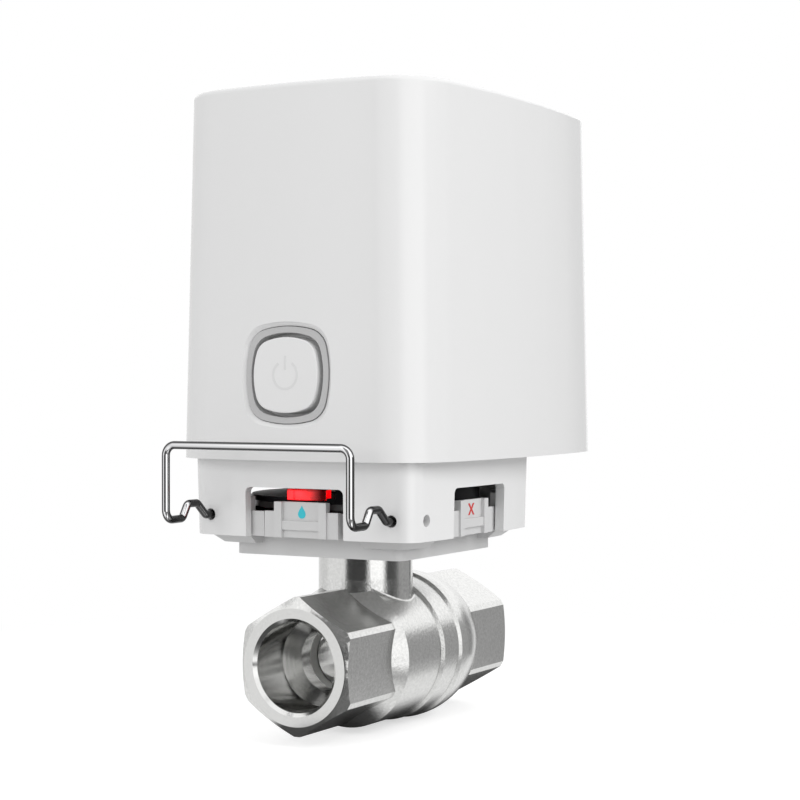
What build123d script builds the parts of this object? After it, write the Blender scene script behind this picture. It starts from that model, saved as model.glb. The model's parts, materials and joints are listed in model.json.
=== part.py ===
from build123d import *
import os
from math import acos, atan2, copysign, cos, degrees, pi, radians, sin, sqrt, tan

# Smart water valve: a nickel-plated ball valve with a motor actuator clipped on top.
# Lengths are millimetres. The origin is on the pipe's axis, where the inlet port's wall begins.
# Y runs along the pipe, away from the side with the button. Z is up, X is to the right.

os.makedirs("parts", exist_ok=True)

# Clearances shared by all pieces
overrun = 2.0
fit_gap = 0.05
slip_gap = 0.15
moving_gap = 0.3

# Valve: overall and hexagon ends
valve_length = 75.7
stem_y = 30.65
hex_across_flats = 27.0
hex_edge_bevel = 0.43
end_ring_radius = 12.85
end_chamfer_angle = 30.0
front_hex_length = 18.6
rear_hex_start = 58.0

# Valve: turned outline of the barrel and of the end cap
barrel_radius = 16.3
barrel_start = 22.0
hex_runout_radius = 13.2
first_ring_y = 37.2
first_ring_radius = 16.9
ring_bevel = 0.6
ring_groove = 0.25
joint_y = 44.7
cap_ring_radius = 17.4
cap_ring_length = 2.6
cap_shoulder_radius = 13.3
cap_shoulder_end = 60.6
cap_shoulder_sag = 1.9

# Valve: waterway
port_radius = 9.9
port_depth = 11.0
port_mouth_chamfer = 0.75
throat_length = 3.6
waterway_radius = 7.25

# Valve: ball, seats and stem
ball_radius = 11.6
cavity_radius = 12.2
seat_reach = 12.3
seat_thickness = 6.0
cap_sleeve_radius = 13.9
cap_sleeve_length = 7.4
cap_seal_wire = 0.75
cap_seal_inset = 2.2
stem_radius = 4.0
stem_collar_radius = 5.2
stem_collar_bottom = 11.9
stem_collar_height = 1.5
tongue_width = 7.4
tongue_thickness = 3.0
tongue_depth = 3.1
thrust_ring_height = 1.6
stem_square = 5.6
stem_square_bottom = 33.0
stem_top = 43.4
stem_seal_wire = 0.48
stem_seal_heights = (18.0, 20.6)
neck_radius = 10.8
neck_top = 23.2
neck_root_fillet = 1.2
spigot_radius = 6.5
spigot_flats = 11.0
spigot_top = 33.0
gland_nut_flats = 17.0
gland_nut_height = 2.5
gland_washer_radius = 8.2
gland_washer_height = 0.8

# Adapter that the actuator is clipped to
plate_width = 43.0
plate_depth = 43.0
plate_corner = 2.4
flange_bottom = 27.8
flange_top = 29.6
rim_wall = 1.6
rim_top = 33.3
rim_corner_top = 36.4
rim_corner_start = 13.6
rim_gap = 0.45
foot_drop = 1.9
foot_taper = 2.2
foot_size = 13.0
tab_reach = 28.15
tab_post_outer = 6.65
tab_post_inner = 4.75
tab_ear_outer = 9.4
tab_slit = 0.7
tab_ear_step = 0.5
tab_ear_top = 33.5
tab_top = 35.6
tab_ledge_top = 31.5
tab_ledge_bottom = 29.5
tab_panel_step = 0.9
tab_ledge_step = 0.25
tab_depth = 1.7

# Base of the actuator: a square skirt with a window in each side, and the tray above it
base_bottom = 27.8
base_bottom_width = 59.1
base_top_width = 59.8
base_corner = 4.5
base_bulge = 1.1
base_wall = 2.2
window_half = 12.1
front_window_left = 13.3
front_window_right = 11.8
window_top = 38.7
window_corner = 1.3
tray_bottom = 45.0
tray_top = 47.2
hub_boss_radius = 12.6
hub_boss_bottom = 41.2

# Wire clip that locks the actuator to the adapter
wire_radius = 0.88
clip_hole_radius = 1.3
clip_half_span = 23.1
clip_z = 32.3
clip_bend = 2.3
clip_hump_bend = 1.2
clip_rear_y = 58.15
clip_exit_y = 0.05
clip_hump_front_y = -3.25
clip_hump_back_y = -6.75
clip_foot_y = -8.75
clip_upright_y = -14.65
clip_hump_z = 35.1
clip_foot_z = 32.0
clip_bar_z = 48.2

# Indicator on the stem
carrier_radius = 25.5
carrier_bottom = 33.7
dial_radius = 26.0
dial_bottom = 35.2
dial_top = 36.4
dial_rim_top = 38.3
dial_rim_inner = 22.6
dial_rim_start = -74.0
dial_rim_end = 62.0
mark_half_angle = 11.5
mark_bottom = 35.9
mark_side_gap = 0.1

# Upper case
case_bottom = 44.8
case_wall = 2.2
case_roof = 2.4
case_top_width = 68.6
case_bottom_width = 71.2
case_front_top = -2.0
case_front_bottom = -3.5
case_rear_top = 91.3
case_rear_bottom = 92.5
case_corner = 13.9
case_front_bulge = 1.1
case_side_bulge = 2.1
case_edge_round = 1.2
case_ledge_width = 1.9
case_ledge_height = 1.4
case_boss_radius = 3.4
case_boss_inset = 6.2
case_boss_height = 11.0
case_rib = 2.0
seal_height = 0.8
seal_width = 1.4
screw_radius = 1.4
screw_head_radius = 2.8
screw_head_depth = 1.6
screw_slot = 0.7
screw_slot_depth = 0.6

# Button and its light ring, on the front wall
button_z = 63.2
bezel_width = 22.9
ring_width = 21.2
ring_inner = 18.2
button_width = 16.3
squircle_share = 0.25
squircle_bulge = 0.55
bezel_depth = 0.9
bezel_lip = 0.2
ring_set_back = 0.6
ring_flange_width = 24.0
ring_flange = 1.0
button_set_back = 0.55
button_flange_width = 20.0
button_flange = 0.9
button_pin_radius = 1.5
button_pin_length = 1.0
button_travel = 0.5
pad_width = 27.0
pad_depth = 3.2

# Gear train: teeth, module and face width of each stage
output_teeth = 44
output_module = 0.8
output_face = 6.0
second_pinion_teeth = 12
second_wheel_teeth = 36
second_module = 0.6
second_wheel_face = 3.5
first_pinion_teeth = 12
first_wheel_teeth = 40
first_module = 0.5
first_wheel_face = 3.0
motor_pinion_teeth = 10
motor_pinion_face = 4.0
pressure_angle = 20.0
tooth_play = 0.08
layer_gap = 1.0
gear_float = 0.6
second_gear_angle = 125.0
first_gear_angle = 20.0
motor_angle = -30.0
axle_radius = 1.5
axle_sink = 1.4
gear_hub_radius = 2.6
output_hub_radius = 8.0
output_hub_bottom = 36.8
output_journal_radius = 4.0
bush_wall = 1.6
bush_length = 3.6
shaft_seal_wall = 2.4
shaft_seal_height = 1.9
lightening_holes = 6
lightening_radius = 2.4
lightening_circle = 12.0
magnet_radius = 1.5
magnet_height = 2.0
magnet_circle = 14.2
sensor_size = (4.0, 1.6, 4.2)
sensor_gap = 1.2

# Gearbox plate and motor
frame_bottom = 66.4
frame_thickness = 2.2
frame_half_width = 28.6
frame_front = 19.0
frame_rear = 61.5
frame_corner = 3.0
frame_leg_radius = 2.8
frame_leg_inset = 3.2
motor_radius = 10.2
motor_length = 24.0
motor_nose_radius = 3.0
motor_nose_height = 1.2
motor_shaft_radius = 1.0
motor_cap_height = 3.0
motor_cap_step = 0.6
motor_terminal = (2.2, 0.5, 3.0)
motor_screw_circle = 7.0

# Circuit board and what it carries
board_y = 7.8
board_thickness = 1.6
board_half_width = 18.5
board_bottom = 49.0
board_headroom = 6.7
board_slot_width = 8.0
board_slot_height = 5.0
board_slot_wall = 1.4
board_slot_x = 14.0
switch_size = 6.2
switch_plunger_radius = 1.6
switch_plunger_height = 0.9
guide_size = 1.8
radio_size = (15.0, 2.2, 20.0)
radio_z = 98.0
capacitor_radius = 4.0
capacitor_length = 11.0
terminal_size = (12.0, 7.5, 8.5)
terminal_pitch = 5.0
antenna_wire = 0.4
antenna_step = 3.2
antenna_height = 3.4

# Battery holder and cells
cell_radius = 8.5
cell_length = 34.5
cell_nub_radius = 3.2
cell_nub_height = 0.9
cell_gap = 1.4
cell_headroom = 2.1
holder_wall = 1.2
holder_front_y = 69.3
contact_thickness = 0.4
contact_width = 7.0
contact_rise = 1.2

# Values worked out from the sizes above
holder_height = holder_wall + contact_rise * 2 + 2 * (cell_length + cell_nub_height)
case_top = tray_top + holder_height + cell_headroom + case_roof
case_height = case_top - case_bottom
board_top = case_top - case_roof - board_headroom
base_top = tray_bottom
cap_shoulder_y = stem_y + seat_reach
second_distance = output_module * (output_teeth + second_pinion_teeth) / 2
first_distance = second_module * (second_wheel_teeth + first_pinion_teeth) / 2
motor_distance = first_module * (first_wheel_teeth + motor_pinion_teeth) / 2
output_bottom = tray_top + layer_gap
output_top = output_bottom + output_face
second_wheel_bottom = output_top + layer_gap
second_wheel_top = second_wheel_bottom + second_wheel_face
first_wheel_bottom = second_wheel_top + layer_gap
first_wheel_top = first_wheel_bottom + first_wheel_face
frame_top = frame_bottom + frame_thickness

pipe_plane = Plane(origin=(0, 0, 0), x_dir=(1, 0, 0), z_dir=(0, 1, 0))
stem_axis = Pos(0, stem_y, 0)


def polar(distance, angle):
    """A point in the XY plane at a distance and an angle in degrees."""
    return distance * cos(radians(angle)), distance * sin(radians(angle))


def add_points(first, second):
    """The sum of two points in the XY plane."""
    return first[0] + second[0], first[1] + second[1]


second_centre = polar(second_distance, second_gear_angle)
first_centre = add_points(second_centre, polar(first_distance, first_gear_angle))
motor_centre = add_points(first_centre, polar(motor_distance, motor_angle))


def at_stem(x, y, z=0):
    """A place given from the stem axis."""
    return Pos(x, stem_y + y, z)


def disc(radius, bottom, top):
    """A cylinder about the Z axis between two heights."""
    return Pos(0, 0, (bottom + top) / 2) * Cylinder(radius, top - bottom)


def ring(outer, inner, bottom, top):
    """A tube about the Z axis between two heights."""
    hole = disc(inner, bottom - overrun, top + overrun)
    return disc(outer, bottom, top) - hole


def block(x, y, z):
    """A box between pairs of limits on each axis."""
    size = Box(x[1] - x[0], y[1] - y[0], z[1] - z[0])
    return Pos((x[0] + x[1]) / 2, (y[0] + y[1]) / 2, (z[0] + z[1]) / 2) * size


def turned(points, axis):
    """A solid turned about an axis from a closed outline of straight runs."""
    return revolve(make_face(Polyline(*points, close=True)), axis, 360)


def bulged_face(width, depth, corner, front_bulge, side_bulge):
    """A rectangle with round corners whose four sides bow outwards."""
    a = width / 2 - side_bulge - corner
    b = depth / 2 - front_bulge - corner
    front = ThreePointArc((-a, -b), (0, -b - front_bulge), (a, -b))
    right = ThreePointArc((a, -b), (a + side_bulge, 0), (a, b))
    back = ThreePointArc((a, b), (0, b + front_bulge), (-a, b))
    left = ThreePointArc((-a, b), (-a - side_bulge, 0), (-a, -b))
    return offset(make_face([front, right, back, left]), amount=corner)


def squircle(width):
    """A square with very round corners and slightly bowed sides."""
    return bulged_face(width, width, width * squircle_share, squircle_bulge, squircle_bulge)


def save(node, shape):
    """Write one node's solids to its own file, with the origin where the inlet's wall begins."""
    solids = shape if isinstance(shape, list) else [shape]
    moved = [Pos(0, -port_mouth_chamfer, 0) * solid for solid in solids]
    export_step(Compound(children=moved) if len(moved) > 1 else moved[0], f"parts/{node}.step")


def hex_bar(start, length, flats):
    """A hexagon bar along the pipe with its corners up and down and bevelled edges."""
    outline = RegularPolygon(flats / 2, 6, major_radius=False, rotation=30)
    strips = RegularPolygon(flats / sqrt(3) - hex_edge_bevel, 6, major_radius=False)
    return extrude(pipe_plane.offset(start) * (outline & strips), amount=length)


def end_cone(y, direction):
    """The turned blank that bevels the corners of a hexagon at the end face of a port."""
    corner = hex_across_flats / sqrt(3)
    drop = (corner - end_ring_radius) * tan(radians(end_chamfer_angle))
    far = y + direction * valve_length
    points = [(0, y), (end_ring_radius, y), (corner, y + direction * drop), (corner, far), (0, far)]
    return turned(points, Axis.Y)


def port_bore(y, direction):
    """The bore of a port: mouth bevel, thread wall and the cone down to the waterway."""
    mouth = port_radius + port_mouth_chamfer
    out = y - direction * overrun
    points = [
        (0, out),
        (mouth, out),
        (mouth, y),
        (port_radius, y + direction * port_mouth_chamfer),
        (port_radius, y + direction * port_depth),
        (waterway_radius, y + direction * (port_depth + throat_length)),
        (waterway_radius, stem_y),
        (0, stem_y),
    ]
    return turned(points, Axis.Y)


def neck_flare():
    """The rounded root of the neck, where it meets the barrel behind the hexagon's runout."""
    barrel = pipe_plane.offset(stem_y) * Cylinder(barrel_radius, neck_top * 3)
    joined = barrel + stem_axis * disc(neck_radius, 0, neck_top)
    round_edges = joined.edges().filter_by(GeomType.CIRCLE)
    root = [edge for edge in joined.edges() - round_edges if edge.length > neck_radius * 3]
    kept = block((-barrel_radius, barrel_radius), (barrel_start, joint_y), (0, neck_top))
    return (fillet(root, neck_root_fillet) - barrel) & kept


def valve_body():
    """The body: hexagon end, barrel, first ring, neck and threaded spigot."""
    facets = hex_bar(0, barrel_start, hex_across_flats) & end_cone(0, 1)
    blank = turned(
        [
            (0, front_hex_length),
            (hex_runout_radius, front_hex_length),
            (barrel_radius, barrel_start),
            (barrel_radius, first_ring_y - ring_groove),
            (barrel_radius - ring_groove, first_ring_y - ring_groove),
            (barrel_radius - ring_groove, first_ring_y),
            (first_ring_radius, first_ring_y + ring_bevel),
            (first_ring_radius, joint_y - ring_groove),
            (first_ring_radius - ring_groove, joint_y),
            (0, joint_y),
        ],
        Axis.Y,
    )
    body = facets + [blank, stem_axis * disc(neck_radius, 0, neck_top), neck_flare()]
    spigot = disc(spigot_radius, neck_top - overrun, spigot_top)
    flats = Box(spigot_flats, spigot_radius * 4, spigot_top * 2)
    body = body + stem_axis * (spigot & (flats + disc(neck_radius, 0, neck_top)))
    cavity_length = joint_y + overrun - (stem_y - seat_reach)
    cavity = pipe_plane.offset(stem_y - seat_reach + cavity_length / 2)
    body = body - port_bore(0, 1) - cavity * Cylinder(cavity_radius, cavity_length)
    thread = joint_y - cap_sleeve_length + overrun / 2
    thread_cut = pipe_plane.offset(joint_y - cap_sleeve_length - slip_gap + thread / 2)
    body = body - thread_cut * Cylinder(cap_sleeve_radius, thread)
    stem_hole = disc(stem_radius + fit_gap, 0, spigot_top + overrun)
    collar_top = stem_collar_bottom + stem_collar_height + thrust_ring_height + 2 * slip_gap
    collar_hole = disc(stem_collar_radius + moving_gap, 0, collar_top)
    return body - stem_axis * (stem_hole + collar_hole)


def end_cap():
    """The end cap: ring, cast shoulder, rear hexagon and the sleeve that screws into the body."""
    back = valve_length
    facets = hex_bar(rear_hex_start - overrun, back - rear_hex_start + overrun, hex_across_flats)
    facets = facets & end_cone(back, -1)
    ring_end = joint_y + cap_ring_length
    shoulder_mid_y = (ring_end + cap_shoulder_end) / 2
    shoulder_mid_radius = (cap_ring_radius + cap_shoulder_radius) / 2 + cap_shoulder_sag / 2
    outline = Polyline(
        (cap_shoulder_radius, cap_shoulder_end),
        (0, cap_shoulder_end),
        (0, joint_y),
        (first_ring_radius - ring_groove, joint_y),
        (cap_ring_radius, joint_y + ring_bevel),
        (cap_ring_radius, ring_end),
    )
    shoulder = ThreePointArc(
        (cap_ring_radius, ring_end),
        (shoulder_mid_radius, shoulder_mid_y),
        (cap_shoulder_radius, cap_shoulder_end),
    )
    blank = revolve(make_face([outline, shoulder]), Axis.Y, 360)
    sleeve_length = cap_sleeve_length + overrun
    sleeve = pipe_plane.offset(joint_y - cap_sleeve_length + sleeve_length / 2)
    cap = facets + blank + sleeve * Cylinder(cap_sleeve_radius - fit_gap, sleeve_length)
    seat_length = cap_shoulder_y - (joint_y - cap_sleeve_length) + overrun
    seat_bore = pipe_plane.offset(cap_shoulder_y - seat_length / 2)
    cap = cap - port_bore(back, -1) - seat_bore * Cylinder(cavity_radius, seat_length)
    return cap - cap_seal(fit_gap)


def cap_seal(growth=0.0):
    """The ring that seals the end cap's sleeve in the body."""
    centre = cap_sleeve_radius - cap_seal_wire - fit_gap
    seal_y = joint_y - cap_seal_inset
    return pipe_plane.offset(seal_y) * Torus(centre, cap_seal_wire + growth)


def seat(direction):
    """A seat ring: its spherical face leaves a running gap to the ball."""
    inner = waterway_radius
    outer = cavity_radius - fit_gap
    back = stem_y + direction * seat_reach
    face = back - direction * seat_thickness
    points = [(inner, face), (outer, face), (outer, back), (inner, back)]
    blank = turned(points, Axis.Y)
    return blank - stem_axis * Sphere(ball_radius + moving_gap)


def ball():
    """The ball with its through bore and the slot for the stem's tongue."""
    bore = pipe_plane.offset(stem_y) * Cylinder(waterway_radius, ball_radius * 3)
    slot_floor = stem_collar_bottom - tongue_depth - slip_gap
    slot = block(
        (-tongue_thickness / 2 - slip_gap, tongue_thickness / 2 + slip_gap),
        (-ball_radius, ball_radius),
        (slot_floor, ball_radius * 2),
    )
    return stem_axis * Sphere(ball_radius) - bore - stem_axis * slot


def stem():
    """The stem: tongue, blow-out collar, sealed shaft and the square that drives the dial."""
    tongue = block(
        (-tongue_thickness / 2, tongue_thickness / 2),
        (-tongue_width / 2, tongue_width / 2),
        (stem_collar_bottom - tongue_depth, stem_collar_bottom + slip_gap),
    )
    collar = disc(stem_collar_radius, stem_collar_bottom, stem_collar_bottom + stem_collar_height)
    shaft = disc(stem_radius, stem_collar_bottom, stem_top)
    square = Box(stem_square, stem_square, stem_top * 3)
    lower = disc(stem_radius * 2, 0, stem_square_bottom)
    shape = tongue + collar + (shaft & (square + lower))
    for z in stem_seal_heights:
        groove_floor = stem_radius - 2 * stem_seal_wire
        half = stem_seal_wire + slip_gap
        shape = shape - ring(stem_radius * 2, groove_floor, z - half, z + half)
    return stem_axis * shape


def stem_seals():
    """Two rings in the stem's grooves."""
    centre = stem_radius - stem_seal_wire + fit_gap / 2
    return [stem_axis * Pos(0, 0, z) * Torus(centre, stem_seal_wire) for z in stem_seal_heights]


def thrust_ring():
    """The slippery ring between the stem's collar and the neck."""
    bottom = stem_collar_bottom + stem_collar_height + slip_gap
    top = bottom + thrust_ring_height
    return stem_axis * ring(stem_collar_radius, stem_radius + slip_gap, bottom, top)


def gland_washer():
    """The spring washer under the gland nut."""
    top = flange_top + gland_washer_height
    return stem_axis * ring(gland_washer_radius, spigot_radius + slip_gap, flange_top, top)


def gland_nut():
    """The thin nut that clamps the adapter on the neck."""
    bottom = flange_top + gland_washer_height
    outline = RegularPolygon(gland_nut_flats / 2, 6, major_radius=False)
    nut = Pos(0, 0, bottom) * extrude(outline, amount=gland_nut_height)
    rounding = disc(gland_nut_flats / sqrt(3) - hex_edge_bevel, bottom, bottom + gland_nut_height)
    bevelled = chamfer(rounding.edges(), gland_nut_height / 5)
    hole = disc(spigot_radius + fit_gap, 0, spigot_top * 2)
    return stem_axis * ((nut & bevelled) - hole)


def base_face(z, inset):
    """The base's outline at a height, moved inwards by an inset."""
    share = (z - base_bottom) / (base_top - base_bottom)
    width = base_bottom_width + share * (base_top_width - base_bottom_width) - 2 * inset
    corner = max(base_corner - inset, base_corner / 3)
    return Pos(0, stem_y, z) * bulged_face(width, width, corner, base_bulge, base_bulge)


def base_prism(bottom, top, inset):
    """A solid between two heights that follows the base's slightly tapering outline."""
    return loft([base_face(bottom, inset), base_face(top, inset)])


def each_side(shape):
    """Four copies of a shape that faces the front, one for each side of the base."""
    return [stem_axis * Rot(0, 0, 90 * k) * shape for k in range(4)]


def clip_bores(radius, near, far):
    """Round cutters for the clip: through the front and the rear, and one hole in each side wall."""
    bore = Rot(90, 0, 0) * Cylinder(radius, far - near)
    places = ((0, -1), (0, 1), (1, -1), (2, -1), (2, 1), (3, 1))
    return [
        stem_axis * Rot(0, 0, 90 * quarter) * Pos(side * clip_half_span, -(near + far) / 2, clip_z) * bore
        for quarter, side in places
    ]


def window_tab():
    """One tab of the adapter, standing in a window: two posts, ears, a sign panel and a ledge."""
    back = -(tab_reach - tab_depth)
    front = -tab_reach
    floor = flange_bottom
    ear_front = front + tab_ear_step
    ears = block((-tab_ear_outer, tab_ear_outer), (ear_front, back), (floor, tab_ear_top))
    posts = block((-tab_post_outer, tab_post_outer), (front, back), (floor, tab_top))
    recess = block((-tab_post_inner, tab_post_inner), (front - overrun, front + tab_panel_step),
                   (floor - overrun, tab_top + overrun))
    ledge = block((-tab_post_inner, tab_post_inner), (front + tab_ledge_step, back),
                  (tab_ledge_bottom, tab_ledge_top))
    lip = block((-tab_post_inner, tab_post_inner), (front + tab_panel_step, back),
                (floor, tab_ledge_bottom))
    return (ears + posts) - recess + ledge + lip


def corner_foot():
    """A tapered foot under one corner of the adapter's flange."""
    inset = base_wall + rim_gap
    low = base_face(base_bottom, inset + foot_taper)
    low = Pos(0, 0, -foot_drop) * low
    return loft([low, base_face(base_bottom, inset)])


def adapter_plate():
    """The adapter: plate on the neck, flange with rim, corner feet and four window tabs."""
    inset = base_wall + rim_gap
    plate = stem_axis * Pos(0, 0, neck_top) * extrude(
        RectangleRounded(plate_width, plate_depth, plate_corner), amount=flange_top - neck_top)
    rim = base_prism(flange_bottom, rim_corner_top, inset)
    rim = rim - base_prism(flange_top, rim_corner_top + overrun, inset + rim_wall)
    reach = base_bottom_width
    low_middle = block((-rim_corner_start, rim_corner_start), (-reach, reach),
                       (rim_top, rim_corner_top + overrun))
    rim = rim - stem_axis * low_middle - stem_axis * Rot(0, 0, 90) * low_middle
    middle = base_bottom_width / 2 - inset - foot_size
    foot_gap = block((-middle, middle), (-reach, reach), (0, flange_bottom))
    feet = corner_foot() - stem_axis * foot_gap - stem_axis * Rot(0, 0, 90) * foot_gap
    shape = plate + [rim, feet] + each_side(window_tab())
    hole = disc(spigot_radius + slip_gap, neck_top - overrun, flange_top + overrun)
    flats = Box(spigot_flats + 2 * slip_gap, spigot_radius * 4, flange_top * 3)
    shape = shape - stem_axis * (hole & flats)
    half = base_bottom_width / 2 - inset
    cuts = clip_bores(wire_radius + moving_gap, half - rim_wall * 3, reach / 2)
    for side in (-1, 1):
        slit = Pos(side * (tab_ear_outer + tab_slit / 2), -half, 0) * Box(tab_slit, rim_wall * 2, reach * 2)
        cuts += each_side(slit)
    return shape - cuts


def window_cut(quarter, left, right):
    """The cutter for the window in one side of the base, open at the bottom."""
    height = window_top - base_bottom + overrun
    outline = Pos((right - left) / 2, window_top - height / 2) * Rectangle(left + right, height)
    outline = fillet(outline.vertices().group_by(Axis.Y)[-1], window_corner)
    return stem_axis * Rot(0, 0, 90 * quarter) * extrude(Plane.XZ * outline, amount=base_top_width)


def base_housing():
    """The actuator's base: windowed skirt, tray, bearing boss and sockets for axles and board."""
    skirt = base_prism(base_bottom, base_top, 0)
    skirt = skirt - base_prism(base_bottom - overrun, base_top, base_wall)
    cuts = clip_bores(clip_hole_radius, base_bottom_width / 3, base_bottom_width)
    cuts.append(window_cut(0, front_window_left, front_window_right))
    cuts += [window_cut(quarter, window_half, window_half) for quarter in (1, 2, 3)]
    skirt = skirt - cuts
    tray = case_prism(tray_bottom, tray_top, case_wall + slip_gap)
    boss = stem_axis * disc(hub_boss_radius, hub_boss_bottom, tray_top)
    shape = skirt + tray + boss
    bush_hole = disc(output_hub_radius + bush_wall + fit_gap, tray_top - bush_length, tray_top + overrun)
    seal_hole = disc(output_hub_radius + shaft_seal_wall + fit_gap, hub_boss_bottom - overrun,
                     hub_boss_bottom + shaft_seal_height)
    through = disc(output_hub_radius + moving_gap, 0, case_top)
    shape = shape - stem_axis * (bush_hole + seal_hole + through)
    for centre in (second_centre, first_centre):
        socket = disc(axle_radius + fit_gap, tray_top - axle_sink, tray_top + overrun)
        shape = shape - at_stem(*centre) * socket
    for x, y in boss_places():
        shape = shape - Pos(x, y) * screw_shape(slip_gap)
    for x in (-board_slot_x, board_slot_x):
        shape = shape + Pos(x, 0, 0) * board_slot()
    return shape


def board_slot():
    """A forked post on the tray that holds the circuit board's lower edge."""
    middle = board_y + board_thickness / 2
    half = board_thickness / 2 + slip_gap + board_slot_wall
    top = tray_top + board_slot_height
    post = block((-board_slot_width / 2, board_slot_width / 2), (middle - half, middle + half),
                 (tray_top - slip_gap, top))
    slot = block((-board_slot_width, board_slot_width),
                 (board_y - slip_gap, board_y + board_thickness + slip_gap), (board_bottom, top + overrun))
    return post - slot


def case_limits(z):
    """Width, front and rear of the case at a height."""
    share = (z - case_bottom) / case_height
    width = case_bottom_width + share * (case_top_width - case_bottom_width)
    front = case_front_bottom + share * (case_front_top - case_front_bottom)
    rear = case_rear_bottom + share * (case_rear_top - case_rear_bottom)
    return width, front, rear


def case_face(z, inset):
    """The case's outline at a height, moved inwards by an inset."""
    width, front, rear = case_limits(z)
    outline = bulged_face(width - 2 * inset, rear - front - 2 * inset, case_corner - inset,
                          case_front_bulge, case_side_bulge)
    return Pos(0, (front + rear) / 2, z) * outline


def case_prism(bottom, top, inset):
    """A solid between two heights that follows the case's tapering outline."""
    return loft([case_face(bottom, inset), case_face(top, inset)])


def boss_places():
    """The four corner screws of the case."""
    width, front, rear = case_limits(case_bottom)
    diagonal = (case_corner - case_wall - case_boss_inset) * cos(radians(45))
    x = width / 2 - case_side_bulge - case_corner + diagonal
    y = (rear - front) / 2 - case_front_bulge - case_corner + diagonal
    middle = (front + rear) / 2
    return [(-x, middle - y), (x, middle - y), (x, middle + y), (-x, middle + y)]


def case_rib_at(x, y):
    """The web that ties a screw boss to the nearest corner of the case."""
    width, front, rear = case_limits(case_bottom)
    corner_angle = degrees(atan2(copysign(1, y - (front + rear) / 2), copysign(1, x)))
    bottom = tray_top + seal_height
    top = tray_top + case_boss_height
    reach = case_boss_inset + case_wall / 2
    web = block((0, reach), (-case_rib / 2, case_rib / 2), (bottom, top))
    return Pos(x, y, 0) * Rot(0, 0, corner_angle) * web


def button_plane():
    """The plane of the front wall at the button, facing outwards."""
    width, front, rear = case_limits(button_z)
    lean = atan2(case_front_top - case_front_bottom, case_height)
    return Plane(origin=(0, front, button_z), x_dir=(1, 0, 0), z_dir=(0, -cos(lean), sin(lean)))


def slab(width, top, bottom):
    """A squircle block on the button's plane between two depths."""
    return extrude(button_plane().offset(bottom) * squircle(width), amount=top - bottom)


def upper_case():
    """The case: tapering shell with round corners, ledge, screw bosses and the button's opening."""
    outer = case_prism(case_bottom, case_top, 0)
    outer = fillet(outer.edges().group_by(Axis.Z)[-1], case_edge_round)
    hollow = loft([
        Pos(0, 0, -overrun) * case_face(case_bottom, case_wall),
        case_face(case_top - case_roof, case_wall),
    ])
    ledge_bottom = tray_top + seal_height
    ledge_top = ledge_bottom + case_ledge_height
    ledge = case_prism(ledge_bottom, ledge_top, case_wall / 2)
    ledge = ledge - case_prism(ledge_bottom - overrun, ledge_top + overrun, case_wall + case_ledge_width)
    shape = outer - hollow + ledge
    for x, y in boss_places():
        boss = Pos(x, y) * disc(case_boss_radius, tray_top + slip_gap, tray_top + case_boss_height)
        pilot = Pos(x, y) * disc(screw_radius, tray_top - overrun, tray_top + case_boss_height - case_rib)
        shape = shape + boss + case_rib_at(x, y)
        shape = shape - pilot
    pad = slab(pad_width, -case_wall / 2, -pad_depth)
    shape = shape + pad
    shape = shape - slab(ring_width, overrun, -pad_depth - overrun)
    bevel = loft([
        button_plane().offset(-bezel_lip) * squircle(bezel_width),
        button_plane().offset(-bezel_depth) * squircle(ring_width),
    ])
    return shape - bevel - slab(bezel_width, overrun, -bezel_lip)


def screw_shape(growth=0.0):
    """A countersunk screw, standing head down in the tray."""
    head = Pos(0, 0, tray_bottom + screw_head_depth / 2) * Cone(
        screw_head_radius + growth, screw_radius + growth, screw_head_depth)
    shank = disc(screw_radius - fit_gap + growth, tray_bottom, tray_top + case_boss_height - case_rib * 2)
    return head + shank


def cross_slot(z, depth):
    """The cross recess of a screw whose head faces down."""
    long_side = screw_head_radius * 1.1
    bar = Pos(0, 0, z) * Box(long_side, screw_slot, depth * 2)
    return bar + Rot(0, 0, 90) * bar


def case_screws():
    """The four screws that hold the case on the tray."""
    screw = screw_shape() - cross_slot(tray_bottom, screw_slot_depth)
    return [Pos(x, y) * screw for x, y in boss_places()]


def case_seal():
    """The flat seal between the tray and the ledge inside the case."""
    inset = case_wall + slip_gap * 2
    top = tray_top + seal_height - slip_gap / 3
    outer = case_prism(tray_top, top, inset)
    return outer - case_prism(tray_top - overrun, top + overrun, inset + seal_width)


def light_ring():
    """The pale ring that glows round the button, with the flange that holds it from inside."""
    shape = slab(ring_width - 2 * slip_gap, -ring_set_back, -pad_depth)
    shape = shape + slab(ring_flange_width, -pad_depth, -pad_depth - ring_flange)
    return shape - slab(ring_inner, overrun, -pad_depth - ring_flange - overrun)


def function_button():
    """The button: front plate, skirt, retaining flange and the pin that meets the switch."""
    flange_front = -pad_depth - ring_flange - moving_gap
    plate = slab(button_width, -button_set_back, flange_front)
    flange = slab(button_flange_width, flange_front, flange_front - button_flange)
    pin_plane = button_plane().offset(flange_front - button_flange - button_pin_length / 2)
    return plate + flange + pin_plane * Cylinder(button_pin_radius, button_pin_length)


def switch_front():
    """Where the front of the switch's plunger lies along Y."""
    width, front, rear = case_limits(button_z)
    flange = pad_depth + ring_flange + moving_gap + button_flange
    return front + flange + button_pin_length + slip_gap


def button_switch():
    """The square push switch on the board, with a hole for its plunger."""
    half = switch_size / 2
    front = switch_front() + switch_plunger_height
    body = block((-half, half), (front, board_y), (button_z - half, button_z + half))
    hole = Pos(0, front, button_z) * Rot(90, 0, 0) * Cylinder(
        switch_plunger_radius + moving_gap, 2 * (switch_plunger_height + button_travel))
    return body - hole


def switch_plunger():
    """The switch's plunger, which travels with the button."""
    length = switch_plunger_height * 1.5
    middle = switch_front() + length / 2
    return Pos(0, middle, button_z) * Rot(90, 0, 0) * Cylinder(switch_plunger_radius, length)


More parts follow.
